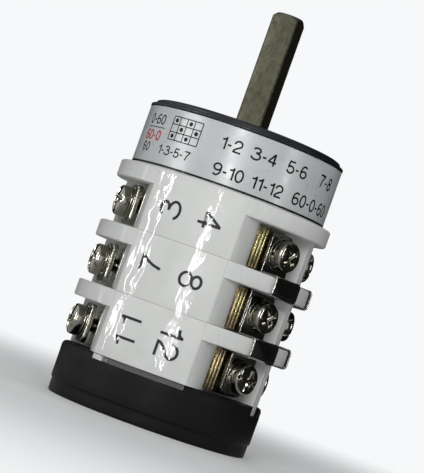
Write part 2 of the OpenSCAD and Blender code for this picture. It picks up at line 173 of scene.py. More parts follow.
def make_object(name, bm, material=None):
    """A new object from a bmesh, with one material."""
    mesh = bpy.data.meshes.new(name)
    bm.to_mesh(mesh)
    bm.free()
    if material:
        mesh.materials.append(material)
    return put(name, mesh)


def skin(bm, rows, closed=False):
    """Adds the faces between rows of vertices. Closed rows run on to their own start."""
    for one, two in zip(rows, rows[1:]):
        for i in range(len(one) if closed else len(one) - 1):
            j = (i + 1) % len(one)
            bm.faces.new((one[i], one[j], two[j], two[i]))


def freeze(obj):
    """Applies every modifier to the object's own mesh."""
    bpy.context.view_layer.update()
    graph = bpy.context.evaluated_depsgraph_get()
    old = obj.data
    obj.data = bpy.data.meshes.new_from_object(obj.evaluated_get(graph), depsgraph=graph)
    obj.modifiers.clear()
    bpy.data.meshes.remove(old)
    return obj


def join(obj, other):
    """Adds another object's mesh to an object's own and removes the other object."""
    bm = bmesh.new()
    bm.from_mesh(obj.data)
    bm.from_mesh(other.data)
    bm.to_mesh(obj.data)
    bm.free()
    bpy.data.objects.remove(other)


def lathe(profile, steps=64):
    """A closed solid of revolution about Z from (radius, height) pairs in millimetres."""
    bm = bmesh.new()
    rings = []
    for r, z in profile:
        if r < TINY:
            rings.append([bm.verts.new((0, 0, z * MM))])
            continue
        rings.append([
            bm.verts.new((r * math.cos(a) * MM, r * math.sin(a) * MM, z * MM))
            for a in (2 * math.pi * i / steps for i in range(steps))
        ])
    for low, high in zip(rings, rings[1:]):
        for i in range(steps):
            j = (i + 1) % steps
            corners = [low[i % len(low)], low[j % len(low)], high[j % len(high)], high[i % len(high)]]
            bm.faces.new(list(dict.fromkeys(corners)))
    bmesh.ops.recalc_face_normals(bm, faces=bm.faces)
    return bm


def add_box(bm, size, place):
    """Adds a box of a size in millimetres, turned and moved by a matrix in metres."""
    shape = place @ Matrix.Diagonal(Vector(size) * MM).to_4x4()
    bmesh.ops.create_cube(bm, size=1, matrix=shape)


def subtract(obj, cutter):
    """Cuts one object out of another and removes the cutter."""
    cut = obj.modifiers.new("Cut", "BOOLEAN")
    cut.operation = "DIFFERENCE"
    cut.solver = "EXACT"
    cut.object = cutter
    freeze(obj)
    bpy.data.objects.remove(cutter)


def smooth(mesh, angle):
    """Smooth faces with sharp edges above an angle in degrees."""
    mesh.polygons.foreach_set("use_smooth", [True] * len(mesh.polygons))
    bm = bmesh.new()
    bm.from_mesh(mesh)
    for e in bm.edges:
        e.smooth = len(e.link_faces) == 2 and e.calc_face_angle(0) < math.radians(angle)
    bm.to_mesh(mesh)
    bm.free()


def round_edges(obj, width, segments=2, angle=35):
    """A bevel of a width in millimetres along every edge sharper than an angle in degrees."""
    bevel = obj.modifiers.new("Edges", "BEVEL")
    bevel.width = width * MM
    bevel.segments = segments
    bevel.limit_method = "ANGLE"
    bevel.angle_limit = math.radians(angle)
    bevel.harden_normals = True


def dress(node, material, edge=0.0, segments=2, soft=False):
    """Gives a CAD node its finish and, where asked, rounded edges or smooth faces, but no new mesh."""
    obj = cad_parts[node]
    obj.data.materials.clear()
    obj.data.materials.append(material)
    obj.data.polygons.foreach_set("use_smooth", [soft or bool(edge)] * len(obj.data.polygons))
    if edge:
        weld = obj.modifiers.new("Weld", "WELD")
        weld.merge_threshold = 0.001 * MM
        round_edges(obj, edge, segments)


def new_piece(obj, body, slot, *nodes):
    """Puts a finished piece on its body, in place of its CAD nodes. Its slot is not used."""
    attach(obj, body)
    if nodes:
        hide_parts(*nodes)


# Material helpers


def add_node(tree, kind, inputs=(), **settings):
    """The outputs of a new node with its settings. Each input takes a value or a link from a socket."""
    node = tree.nodes.new(kind)
    for key, value in settings.items():
        setattr(node, key, value)
    for key, value in dict(inputs).items():
        if isinstance(value, bpy.types.NodeSocket):
            tree.links.new(value, node.inputs[key])
        else:
            node.inputs[key].default_value = value
    return node.outputs


def calc(tree, operation, a, b=0.0):
    """The result of a Math node on two values, each a number or a socket."""
    return add_node(tree, "ShaderNodeMath", {0: a, 1: b}, operation=operation)["Value"]


def mix_shaders(tree, share, one, other):
    """One shader with a share of another."""
    return add_node(tree, "ShaderNodeMixShader", {0: share, 1: one, 2: other})["Shader"]


def plainly_seen(tree):
    """1 for what the camera sees, also in reflections and through clear material, and 0 for light."""
    rays = add_node(tree, "ShaderNodeLightPath")
    seen = calc(tree, "MAXIMUM", rays["Is Camera Ray"], rays["Is Glossy Ray"])
    return calc(tree, "MAXIMUM", seen, rays["Is Transmission Ray"])


def shaded(colour, amount):
    """A colour made darker or lighter."""
    return tuple(min(1.0, c * amount) for c in colour)


class Shade:
    """A material with a Principled shader and the nodes that vary it."""

    def __init__(self, name, colour, roughness, metallic=0.0):
        self.material = bpy.data.materials.new(name)
        self.material.use_nodes = True
        self.tree = self.material.node_tree
        self.shader = self.tree.nodes["Principled BSDF"]
        self.colour = tuple(colour)
        self.shader.inputs["Base Color"].default_value = (*colour, 1)
        self.shader.inputs["Roughness"].default_value = roughness
        self.shader.inputs["Metallic"].default_value = metallic
        self.place = self.add("ShaderNodeTexCoord")["Object"]

    def add(self, kind, inputs=(), **settings):
        return add_node(self.tree, kind, inputs, **settings)

    def link(self, a, b):
        self.tree.links.new(a, b)

    def axes(self):
        """The three object coordinates."""
        return self.add("ShaderNodeSeparateXYZ", {"Vector": self.place})

    def noise(self, grain, detail=4.0, stretch=(1, 1, 1), rough=0.55):
        """Noise whose features are about grain millimetres, drawn out by stretch."""
        scale = [1 / (grain * MM * s) for s in stretch]
        place = self.add("ShaderNodeMapping", {"Vector": self.place, "Scale": scale})["Vector"]
        inputs = {"Vector": place, "Scale": 1.0, "Detail": detail, "Roughness": rough}
        return self.add("ShaderNodeTexNoise", inputs)["Fac"]

    def ramp(self, value, low, high, low_out=0.0, high_out=1.0):
        """Maps a range of a value onto another, smoothly and within bounds."""
        inputs = {"Value": value, "From Min": low, "From Max": high, "To Min": low_out, "To Max": high_out}
        return self.add("ShaderNodeMapRange", inputs, interpolation_type="SMOOTHSTEP")["Result"]

    def tint(self, mask, colour):
        """Mixes another colour in where the mask is 1."""
        base = self.shader.inputs["Base Color"]
        under = base.links[0].from_socket if base.is_linked else (*self.colour, 1)
        inputs = {"Factor": mask, "A": under, "B": (*colour, 1)}
        self.link(self.add("ShaderNodeMix", inputs, data_type="RGBA")["Result"], base)

    def roughen(self, value, low, high):
        """Drives the roughness between two levels by the middle range of a noise."""
        self.link(self.ramp(value, 0.3, 0.7, low, high), self.shader.inputs["Roughness"])

    def relief(self, value, depth, under=None, strength=1.0):
        """A normal with relief of a depth in millimetres, laid over another normal where there is one."""
        inputs = {"Height": value, "Distance": depth * MM, "Strength": strength}
        if under:
            inputs["Normal"] = under
        return self.add("ShaderNodeBump", inputs)["Normal"]

    def bump(self, value, depth):
        """Adds relief of a depth in millimetres to the shader."""
        normal = self.shader.inputs["Normal"]
        under = normal.links[0].from_socket if normal.is_linked else None
        self.link(self.relief(value, depth, under), normal)

    def surface(self, shader):
        """Makes a shader the material's surface."""
        self.link(shader, self.tree.nodes["Material Output"].inputs["Surface"])


# Materials


def moulded(name, colour, roughness, grain_depth=0.004, specular=0.5):
    """Moulded plastic: faint cloudiness, small specks, uneven gloss and a fine grain."""
    s = Shade(name, colour, roughness)
    s.shader.inputs["Specular IOR Level"].default_value = specular
    cloud = s.noise(9, detail=3)
    specks = s.noise(0.9, detail=6, rough=0.7)
    grain = s.noise(0.25, detail=3)
    s.tint(s.ramp(cloud, 0.35, 0.75), shaded(colour, 0.93))
    s.tint(s.ramp(specks, 0.68, 0.78), shaded(colour, 0.72))
    s.roughen(s.noise(3, detail=5), roughness - 0.05, roughness + 0.08)
    s.bump(grain, grain_depth)
    return s.material


def plated(name, colour, roughness, grime=(0.1, 0.095, 0.08), relief=0.012):
    """Bright plating: a slight relief, dull patches and dark dirt in places."""
    s = Shade(name, colour, roughness, metallic=1.0)
    dirt = s.noise(2.2, detail=5, rough=0.65)
    dull = s.noise(1.4, detail=6, rough=0.7)
    s.tint(s.ramp(dirt, 0.52, 0.74), grime)
    s.roughen(dull, roughness * 0.7, roughness * 2.2)
    s.bump(s.noise(0.5, detail=4), relief)
    return s.material


def tarnished_brass(name, colour, tarnish):
    """Brass strip: bands and stains along the strip, and on the left hand side a lighter grey that is partly
    tarnish and partly painted reflection.
    """
    olive, copper, middle = (0.24, 0.24, 0.12), (0.34, 0.25, 0.21), 4 * MM
    s = Shade(name, colour, 0.24, metallic=1.0)
    stains = s.noise(1.3, detail=5, stretch=(1, 1, 2.5), rough=0.7)
    s.tint(s.ramp(s.noise(0.9, detail=2, stretch=(1, 1, 14)), 0.5, 0.62), olive)
    s.tint(s.ramp(s.noise(1.1, detail=2, stretch=(1, 1, 12)), 0.56, 0.66), copper)
    s.tint(s.ramp(stains, 0.45, 0.7), shaded(colour, 0.3))
    # Lighter grey towards the left: partly tarnish, partly painted reflection of the light on that side
    s.tint(s.ramp(s.axes()["X"], middle, -middle), tarnish)
    s.roughen(s.noise(0.9, detail=6, rough=0.7), 0.16, 0.46)
    s.bump(s.noise(0.35, detail=4, stretch=(1, 1, 6)), 0.02)
    return s.material


def drawn_steel(name, colour):
    """Drawn square bar: lines along the bar, a fine grain and faint blotches of oil."""
    s = Shade(name, colour, 0.5, metallic=1.0)
    lines = s.noise(0.3, detail=5, stretch=(1, 1, 30))
    blotches = s.noise(1.3, detail=7, stretch=(1, 1, 1.5), rough=0.75)
    grain = s.noise(0.25, detail=3)
    s.tint(s.ramp(blotches, 0.42, 0.66), shaded(colour, 0.7))
    s.tint(s.ramp(lines, 0.5, 0.75), shaded(colour, 1.25))
    s.roughen(blotches, 0.44, 0.6)
    s.bump(lines, 0.01)
    s.bump(grain, 0.012)
    return s.material


def print_ink(name, colour):
    """Printing ink: nearly flat, with a slight unevenness."""
    s = Shade(name, colour, 0.42)
    s.shader.inputs["Specular IOR Level"].default_value = 0.1
    s.tint(s.ramp(s.noise(0.4, detail=4), 0.5, 0.75), shaded(colour, 2.2))
    s.roughen(s.noise(0.8), 0.36, 0.5)
    return s.material


def clear_film(name):
    """Glossy film: clear except where it mirrors, with a faint white haze where it hangs over the cap, a
    painted highlight in white at the left end of that, and whiter along its side edges.

    It is smooth at the left and has a fine grain from there on. Its inner faces mirror nothing.
    """
    s = Shade(name, (1.0, 1.0, 1.0), 0.05)
    x, z = s.axes()["X"], s.axes()["Z"]
    grain_from, grain_to = -7 * MM, -2 * MM
    wrinkle = s.relief(s.noise(1.6, detail=0.5, stretch=(1, 1, 2.4)), 0.11)
    wave = s.relief(s.noise(3, detail=2, stretch=(1, 1, 3.5)), 0.07, wrinkle)
    grain = s.relief(
        s.noise(0.9, detail=1, stretch=(1, 1, 2.2)), 0.05, wave, strength=s.ramp(x, grain_from, grain_to))
    rough = s.ramp(x, grain_from, grain_to, 0.055, 0.065)
    gloss = s.add("ShaderNodeBsdfGlossy", {"Roughness": rough, "Normal": grain})["BSDF"]
    mirror = s.add("ShaderNodeFresnel", {"IOR": 1.37, "Normal": wave})["Fac"]
    outer = calc(s.tree, "SUBTRACT", 1.0, s.add("ShaderNodeNewGeometry")["Backfacing"])
    share = calc(s.tree, "MULTIPLY", mirror, outer)
    side = (PANEL_R + 0.3) * math.sin(math.radians(FILM_AZ)) * MM
    low = node_top("bottom_cap") * MM
    over_cap = s.ramp(z, low, low - 0.2 * MM)
    # Over the cap the film is a faint white haze. Towards its lower left corner there it rises to half white,
    # a painted highlight
    corner = s.ramp(x, 3.6 * MM - side, 1.8 * MM - side, 0.05, 0.5)
    along_sides = s.ramp(calc(s.tree, "ABSOLUTE", x), side - 0.25 * MM, side, 0.0, 0.3)
    # White over the cap and along the side edges. The white at the lower left corner over the cap is a
    # painted highlight
    whitening_and_painted_highlight = calc(s.tree, "MAXIMUM", calc(s.tree, "MULTIPLY", over_cap, corner), along_sides)
    clear, white = (s.add(f"ShaderNodeBsdf{kind}")["BSDF"] for kind in ("Transparent", "Diffuse"))
    s.surface(mix_shaders(s.tree, share, mix_shaders(s.tree, whitening_and_painted_highlight, clear, white), gloss))
    s.tree.nodes.remove(s.shader)
    return s.material


MADE = {}


def finish(context, name, maker, colour, **recipe):
    """A material by name, made once, from one of the add-on's colours."""
    if name not in MADE:
        MADE[name] = maker(name, getattr(context.scene.switch_colours, colour), **recipe)
    return MADE[name]


def plastic(context):
    """Finish of the decks and the drum."""
    return finish(context, "deck_plastic", moulded, "plastic", roughness=0.4, specular=0.15)


def nickel(context):
    """Finish of the screws and washers."""
    return finish(
        context, "screw_nickel", plated, "nickel", roughness=0.07, grime=(0.03, 0.028, 0.02), relief=0.006)


def brass(context):
    """Finish of the contact strips and bridges."""
    tarnish = context.scene.switch_colours.tarnish
    return finish(context, "contact_brass", tarnished_brass, "brass", tarnish=tarnish)


def ink(context):
    """Black print."""
    return finish(context, "printing_ink", print_ink, "ink")


# Repeats by Geometry Nodes


def scatter_tree():
    """A node tree that puts a copy of a piece on every point, turned by the point's own angles.

    Each copy is also spun about its own axis by a random angle, up to Spin.
    """
    name = "Pieces on points"
    if name in bpy.data.node_groups:
        return bpy.data.node_groups[name]
    tree = bpy.data.node_groups.new(name, "GeometryNodeTree")
    inputs = {"Geometry": "Geometry", "Piece": "Object", "Spin": "Float", "Seed": "Int", "Finish": "Material"}
    for label, kind in inputs.items():
        tree.interface.new_socket(label, in_out="INPUT", socket_type=f"NodeSocket{kind}")
    tree.interface.new_socket("Geometry", in_out="OUTPUT", socket_type="NodeSocketGeometry")

    def add(kind, inputs=(), **settings):
        return add_node(tree, kind, inputs, **settings)

    given = add("NodeGroupInput")
    piece = add("GeometryNodeObjectInfo", {"Object": given["Piece"]})
    facing = add("GeometryNodeInputNamedAttribute", {"Name": "facing"}, data_type="FLOAT_VECTOR")
    # Places of the float sockets among the random node's inputs and outputs
    float_max, float_value = 3, 1
    draw = {float_max: given["Spin"], "Seed": given["Seed"]}
    spin = add("FunctionNodeRandomValue", draw, data_type="FLOAT")
    about = add("ShaderNodeCombineXYZ", {"Z": spin[float_value]})
    turn = add("FunctionNodeEulerToRotation", {"Euler": facing["Attribute"]})
    own = add("FunctionNodeEulerToRotation", {"Euler": about["Vector"]})
    turns = {"Rotation": turn["Rotation"], "Rotate By": own["Rotation"]}
    both = add("FunctionNodeRotateRotation", turns, rotation_space="LOCAL")
    places = {"Points": given["Geometry"], "Instance": piece["Geometry"], "Rotation": both["Rotation"]}
    copies = add("GeometryNodeInstanceOnPoints", places)
    real = add("GeometryNodeRealizeInstances", {"Geometry": copies["Instances"]})
    paint = add("GeometryNodeSetMaterial", {"Geometry": real["Geometry"], "Material": given["Finish"]})
    add("NodeGroupOutput", {"Geometry": paint["Geometry"]})
    return tree


def scatter(name, piece, places, material, spin=0.0, seed=1):
    """One plain mesh of a piece repeated at places, each a (point, Euler angles) pair."""
    mesh = bpy.data.meshes.new(name)
    mesh.from_pydata([p for p, _ in places], [], [])
    facing = mesh.attributes.new("facing", "FLOAT_VECTOR", "POINT")
    facing.data.foreach_set("vector", [v for _, turn in places for v in turn])
    obj = put(name, mesh)
    tree = scatter_tree()
    modifier = obj.modifiers.new("Repeat", "NODES")
    modifier.node_group = tree
    values = {"Piece": piece, "Spin": spin, "Seed": seed, "Finish": material}
    for socket in tree.interface.items_tree:
        if socket.name in values:
            modifier[socket.identifier] = values[socket.name]
    freeze(obj)
    bpy.data.objects.remove(piece)
    smooth(obj.data, 40)
    return obj


def terminal_places(height, turns=None):
    """Points and angles of the twelve terminals, Z outwards along each screw.

    height(deck, azimuth) is how far out from the axis the piece sits, in millimetres.
    turns holds each piece's own turn about its axis, in degrees, by deck.
    """
    places = []
    for k in DECKS:
        for i, az in enumerate(TERMINAL_AZ):
            turn = Matrix.Rotation(math.radians(az), 3, "Z") @ Matrix.Rotation(math.radians(90), 3, "X")
            if turns:
                turn = turn @ Matrix.Rotation(math.radians(turns[k][i]), 3, "Z")
            places.append((at_azimuth(height(k, az), az, SCREW_Z[k]), tuple(turn.to_euler())))
    return places


# Inner faces of the clamp plates of decks 1 to 3, by the angle of the terminal,
# and the thickness of what lies on them, in millimetres, as in the CAD model
CLAMP_OUT = dict(zip(TERMINAL_AZ, (
    (21.6, 21.0, 21.9), (22.0, 21.85, 21.0), (21.9, 21.9, 21.9), (21.9, 22.8, 22.8),
)))
CLAMP_T = 1.3
WASHER_T = 0.85
LINK_T = 0.5
GAP = 0.05
# The threaded part of a terminal screw, in millimetres, and how far it reaches into the head
SHANK_R = 1.95
SHANK_LENGTH = 8.6
SHANK_OVERLAP = 0.1
# How far each terminal screw was left turned, in degrees, by deck
SCREW_TURNS = {1: (128, 23, 153, 4), 2: (124, 34, 30, 98), 3: (173, 118, 81, 90)}


def clamp_out(k, az):
    """Inner face of a clamp plate."""
    return CLAMP_OUT[az][k - 1]


def washers_out(k, az):
    """Inner face of the washers, over any link straps."""
    links = (2 if k == 2 else 1) if az < 180 else 0
    return clamp_out(k, az) + CLAMP_T + GAP + links * (LINK_T + GAP)


def head_out(k, az):
    """Underside of a screw head."""
    return washers_out(k, az) + WASHER_T + GAP


# Operators


class SWITCH_OT_housing(bpy.types.Operator):
    """Finishes the decks, the drum, the top plate and the base cap."""

    bl_idname = "switch.housing"
    bl_label = "Housing"

    def execute(self, context):
        edge = context.scene.switch_sizes.edge
        for k in DECKS:
            dress(f"deck_{k}", plastic(context), edge)
        dress("drum_housing", plastic(context), edge)
        plate = finish(
            context, "top_plate_black", moulded, "plate", roughness=0.4, grain_depth=0.006, specular=0.25)
        dress("top_plate", plate, edge=0.15)
        cap = finish(context, "cap_black", moulded, "cap", roughness=0.5, grain_depth=0.012, specular=0.08)
        dress("bottom_cap", cap, edge)
        dress("plate_screws", nickel(context), edge=0.06)
        return {"FINISHED"}


class SWITCH_OT_shaft(bpy.types.Operator):
    """Finishes the square shaft."""

    bl_idname = "switch.shaft"
    bl_label = "Shaft"

    def execute(self, context):
        dress("shaft", finish(context, "drawn_steel", drawn_steel, "steel"), edge=0.18, segments=3)
        return {"FINISHED"}


class SWITCH_OT_inner_parts(bpy.types.Operator):
    """Finishes the contact sets, cams and click mechanism inside the housing."""

    bl_idname = "switch.inner_parts"
    bl_label = "Inner parts"

    def execute(self, context):
        cream = finish(context, "rotor_plastic", moulded, "rotor", roughness=0.42)
        phenolic = finish(context, "plunger_phenolic", moulded, "plunger", roughness=0.4)
        slider = finish(context, "slider_black", moulded, "slider", roughness=0.5)
        spring = finish(context, "spring_steel", plated, "spring", roughness=0.25)
        finishes = (
            ("cam_", cream), ("detent_wheel", cream), ("plunger_", phenolic), ("bridge_", brass(context)),
            ("contact_spring_", spring), ("detent_spring_", spring), ("detent_slider_", slider),
            ("detent_roller_", nickel(context)), ("retaining_clip", spring), ("tie_", nickel(context)),
        )
        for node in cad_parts:
            for start, material in finishes:
                if node.startswith(start):
                    dress(node, material, edge=0 if "spring" in node else 0.05)
        return {"FINISHED"}


class SWITCH_OT_contact_strips(bpy.types.Operator):
    """Finishes the brass strips on the pocket floors."""

    bl_idname = "switch.contact_strips"
    bl_label = "Contact strips"

    def execute(self, context):
        for k in DECKS:
            dress(f"fixed_contacts_deck_{k}", brass(context), edge=0.08)
        return {"FINISHED"}


class SWITCH_OT_link_straps(bpy.types.Operator):
    """Finishes the link straps that join terminals over a fin."""

    bl_idname = "switch.link_straps"
    bl_label = "Link straps"

    def execute(self, context):
        recipe = {"roughness": 0.05, "grime": (0.25, 0.25, 0.24), "relief": 0.0003}
        plating = finish(context, "strap_plating", plated, "strap", **recipe)
        for side in SIDES:
            for level in ("upper", "lower"):
                dress(f"link_strap_{side}_{level}", plating, edge=0.14)
        return {"FINISHED"}


def screw_head(head_r, head_h):
    """A pan head with a slot and a cross recess, its underside at z = 0."""
    edge_r, dome_r, foot, last, step = 0.9, 10.0, 0.2, 75, 15
    # The slot's box is centred on the top, so half of its height cuts in, as do the cross's troughs
    slot_size = (9, 1.1, 1.9)
    trough_r, trough_length, trough_deepening = 0.85, 5.6, 1.7

    def dome(r):
        return head_h - dome_r + math.sqrt(dome_r**2 - r**2)

    meet = head_r - edge_r + edge_r * math.cos(math.radians(last))
    shoulder = dome(meet) - edge_r * math.sin(math.radians(last))
    crown = [(head_r - edge_r + edge_r * math.cos(a), shoulder + edge_r * math.sin(a))
             for a in (math.radians(d) for d in range(0, last + 1, step))]
    top = [(r, dome(r)) for r in (head_r * 0.65, head_r * 0.45, head_r * 0.25, 0.0)]
    profile = [(0, 0), (head_r - foot, 0), (head_r, foot), *crown, *top]
    head = make_object("screw_head", lathe(profile, 56))
    above = Matrix.Translation((0, 0, head_h * MM))
    slot = bmesh.new()
    add_box(slot, slot_size, above)
    subtract(head, make_object("slot_cutter", slot))
    for turn in (0, 90):
        trough = bmesh.new()
        bmesh.ops.create_cone(
            trough, cap_ends=True, segments=20, radius1=trough_r * MM, radius2=trough_r * MM,
            depth=trough_length * MM,
            matrix=above @ Matrix.Rotation(math.radians(turn), 4, "Z")
            @ Matrix.Diagonal((1, 1, trough_deepening, 1)) @ Matrix.Rotation(math.radians(90), 4, "Y"))
        subtract(head, make_object("cross_cutter", trough))
    round_edges(head, 0.12, angle=30)
    return freeze(head)


def threaded_shank(radius, length, pitch, top):
    """A closed shank along -Z from z = top, with a thread cut into it."""
    steps, per_pitch, depth = 28, 6, 0.3
    rows = round(length / pitch * per_pitch)
    bm = bmesh.new()
    rings = []
    for row in range(rows + 1):
        z = -length * row / rows
        ring = []
        for i in range(steps):
            phase = (z / pitch + i / steps) % 1.0
            r = radius - depth * abs(2 * phase - 1)
            a = 2 * math.pi * i / steps
            ring.append(bm.verts.new((r * math.cos(a) * MM, r * math.sin(a) * MM, (z + top) * MM)))
        rings.append(ring)
    skin(bm, rings, closed=True)
    bm.faces.new(rings[0])
    bm.faces.new(rings[-1])
    bmesh.ops.recalc_face_normals(bm, faces=bm.faces)
    return bm


class SWITCH_OT_terminal_screws(bpy.types.Operator):
    """Makes the twelve terminal screws, each turned as it was left."""

    bl_idname = "switch.terminal_screws"
    bl_label = "Terminal screws"

    def execute(self, context):
        sizes = context.scene.switch_sizes
        screw = screw_head(sizes.head_r, sizes.head_h)
        thread = threaded_shank(SHANK_R, SHANK_LENGTH, sizes.thread_pitch, SHANK_OVERLAP)
        join(screw, make_object("shank", thread))
        places = terminal_places(head_out, SCREW_TURNS)
        screws = scatter("terminal_screws", screw, places, nickel(context))
        new_piece(screws, HOUSING, "screw_nickel", *[f"terminal_screws_deck_{k}" for k in DECKS])
        return {"FINISHED"}


def ring_piece(name, inner, outer, low, high, gap_angle=0.0, rise=0.0, steps=44):
    """A flat or split ring about Z, in millimetres. A split one climbs by rise over one turn."""
    bm = bmesh.new()
    rings = []
    for i in range(steps + (1 if gap_angle else 0)):
        a = math.radians(gap_angle / 2 + (360 - gap_angle) * i / steps)
        up = rise * i / steps
        rings.append([
            bm.verts.new((r * math.cos(a) * MM, r * math.sin(a) * MM, (h + up) * MM))
            for r, h in ((inner, low), (outer, low), (outer, high), (inner, high))
        ])
    skin(bm, rings if gap_angle else [*rings, rings[0]], closed=True)
    if gap_angle:
        bm.faces.new(rings[0])
        bm.faces.new(rings[-1])
    bmesh.ops.recalc_face_normals(bm, faces=bm.faces)
    ring = make_object(name, bm)
    round_edges(ring, 0.09, angle=40)
    return freeze(ring)


class SWITCH_OT_washers(bpy.types.Operator):
    """Makes a flat washer and a split spring washer under each screw head."""

    bl_idname = "switch.washers"
    bl_label = "Washers"

    def execute(self, context):
        bore, flat_r, split_r = 2.2, 4.4, 3.8
        pair = ring_piece("flat_washer", bore, flat_r, low=0.0, high=0.3)
        join(pair, ring_piece("split_washer", bore, split_r, low=0.34, high=0.79, gap_angle=12, rise=0.06))
        places = terminal_places(washers_out)
        washers = scatter("washers", pair, places, nickel(context), spin=math.tau, seed=9)
        new_piece(washers, HOUSING, "spring_steel", *[f"washers_deck_{k}" for k in DECKS])
        return {"FINISHED"}


class SWITCH_OT_clamp_plates(bpy.types.Operator):
    """Makes the clamp plates under the washers."""

    bl_idname = "switch.clamp_plates"
    bl_label = "Clamp plates"

    def execute(self, context):
        width, height, corner, edge, hole_r = 8.2, 10.2, 1.6, 0.22, 2.15
        bm = bmesh.new()
        add_box(bm, (width, height, CLAMP_T), Matrix.Translation((0, 0, CLAMP_T / 2 * MM)))
        through = [e for e in bm.edges if abs(e.verts[0].co.z - e.verts[1].co.z) > CLAMP_T / 2 * MM]
        bmesh.ops.bevel(bm, geom=through, offset=corner * MM, segments=6, profile=0.5, affect="EDGES")
        plate = make_object("clamp_plate", bm)
        below, above = -1, 3
        hole = lathe([(0, below), (hole_r, below), (hole_r, above), (0, above)], 40)
        subtract(plate, make_object("hole_cutter", hole))
        round_edges(plate, edge, segments=3, angle=40)
        freeze(plate)
        plating = finish(context, "clamp_plating", plated, "clamp", roughness=0.16, grime=(0.06, 0.055, 0.04))
        plates = scatter("clamp_plates", plate, terminal_places(clamp_out), plating)
        new_piece(plates, HOUSING, "clamp_plated", *[f"clamp_plates_deck_{k}" for k in DECKS])
        return {"FINISHED"}


def wrap(bm, radius, azimuth, z, step=0.4):
    """Lays a flat drawing round a cylinder: x runs round it to the right, y runs up. All in millimetres."""
    xs = [v.co.x for v in bm.verts]
    x = math.floor(min(xs) / step) * step
    while x < max(xs):
        geom = bm.verts[:] + bm.edges[:] + bm.faces[:]
        bmesh.ops.bisect_plane(bm, geom=geom, plane_co=(x, 0, 0), plane_no=(1, 0, 0))
        x += step
    for v in bm.verts:
        v.co = at_azimuth(radius, azimuth + math.degrees(v.co.x / radius), z + v.co.y)


def thicken(bm, depth):
    """Turns a sheet into a closed solid by moving a copy of it outwards from the axis."""
    bmesh.ops.triangulate(bm, faces=bm.faces[:])
    made = bmesh.ops.extrude_face_region(bm, geom=bm.faces[:])
    for v in (g for g in made["geom"] if isinstance(g, bmesh.types.BMVert)):
        out = Vector((v.co.x, v.co.y, 0)).normalized()
        v.co += out * depth * MM
    bmesh.ops.recalc_face_normals(bm, faces=bm.faces)


def arc(x, y, rx, ry, start, end, steps=18):
    """Points along part of an ellipse, with angles in degrees anticlockwise from the right."""
    angles = [math.radians(start + (end - start) * i / steps) for i in range(steps + 1)]
    return [(x + rx * math.cos(a), y + ry * math.sin(a)) for a in angles]


# Strokes of each digit along their middles, on a box one unit high
DIGITS = {
    "0": [arc(0.33, 0.5, 0.29, 0.46, 90, 450, 32)],
    "1": [[(0.33, 0.0), (0.33, 1.0)], [(0.0, 0.765), (0.15, 0.775), (0.25, 0.82), (0.32, 0.93)]],
    "2": [arc(0.34, 0.69, 0.29, 0.265, 188, -40) + [(0.4, 0.43), (0.24, 0.32), (0.1, 0.19), (0.045, 0.04)],
          [(0.0, 0.045), (0.66, 0.045)]],
    "3": [arc(0.33, 0.77, 0.28, 0.19, 168, -90) + [(0.27, 0.575)], arc(0.33, 0.3, 0.37, 0.26, 90, -168)],
    "4": [[(0.49, 0.0), (0.49, 1.0)], [(0.0, 0.29), (0.69, 0.29)], [(0.03, 0.3), (0.47, 0.96)]],
    "5": [[(0.62, 0.955), (0.14, 0.955), (0.08, 0.52)] + arc(0.33, 0.32, 0.3, 0.275, 140, -165)],
    "6": [arc(0.35, 0.3, 0.3, 0.26, 0, 360, 28), arc(0.38, 0.5, 0.33, 0.46, 52, 190)],
    "7": [[(0.0, 0.955), (0.72, 0.955)], [(0.69, 0.94), (0.5, 0.7), (0.36, 0.4), (0.27, 0.0)]],
    "8": [arc(0.33, 0.76, 0.25, 0.2, 0, 360, 28), arc(0.33, 0.29, 0.29, 0.25, 0, 360, 28)],
    "9": [arc(0.31, 0.7, 0.3, 0.26, 0, 360, 28), arc(0.28, 0.5, 0.33, 0.46, 10, -128)],
    "-": [[(0.0, 0.42), (0.3, 0.42)]],
}


def band(bm, points, width):
    """Adds a flat band of a width along a line of points. A line that ends where it starts is closed."""
    line = [Vector((*p, 0)) for p in points]
    closed = (line[0] - line[-1]).length < TINY
    if closed:
        line.pop()
    sides = []
    for i, p in enumerate(line):
        into = p - line[i - 1] if i or closed else line[1] - p
        on = line[(i + 1) % len(line)] - p if closed or i + 1 < len(line) else into
        along = (into.normalized() + on.normalized()).normalized()
        reach = width / 2 / max(0.5, along.dot(on.normalized()))
        side = Vector((-along.y, along.x, 0)) * reach
        sides.append((bm.verts.new(p + side), bm.verts.new(p - side)))
    for one, two in list(zip(sides, sides[1:])) + ([(sides[-1], sides[0])] if closed else []):
        bm.faces.new((one[0], one[1], two[1], two[0]))


def lettering(text, height, turn=0.0, weight=0.122, gap=0.2):
    """Plain digits as flat bands centred on the origin, turned by an angle in degrees.

    The height is in millimetres; weight and gap are the stroke's width and the space between digits,
    as shares of it.
    """
    bm = bmesh.new()
    start = 0.0
    for digit in text:
        for stroke in DIGITS[digit]:
            band(bm, [((x + start) * height, y * height) for x, y in stroke], weight * height)
        start += max(x for stroke in DIGITS[digit] for x, _ in stroke) + gap
    bmesh.ops.translate(bm, vec=((gap - start) / 2 * height, -height / 2, 0), verts=bm.verts)
    bmesh.ops.rotate(bm, matrix=Matrix.Rotation(math.radians(turn), 3, "Z"), verts=bm.verts)
    return bm


def bar(width, height, x=0.0):
    """A flat rectangle centred on x and level 0."""
    bm = bmesh.new()
    bmesh.ops.create_grid(bm, x_segments=1, y_segments=1, size=0.5)
    bmesh.ops.scale(bm, vec=(width, height, 1), verts=bm.verts)
    bmesh.ops.translate(bm, vec=(x, 0, 0), verts=bm.verts)
    return bm


def dot(radius, x):
    """A flat disc centred on x and level 0."""
    bm = bmesh.new()
    bmesh.ops.create_circle(bm, cap_ends=True, segments=20, radius=radius)
    bmesh.ops.translate(bm, vec=(x, 0, 0), verts=bm.verts)
    return bm


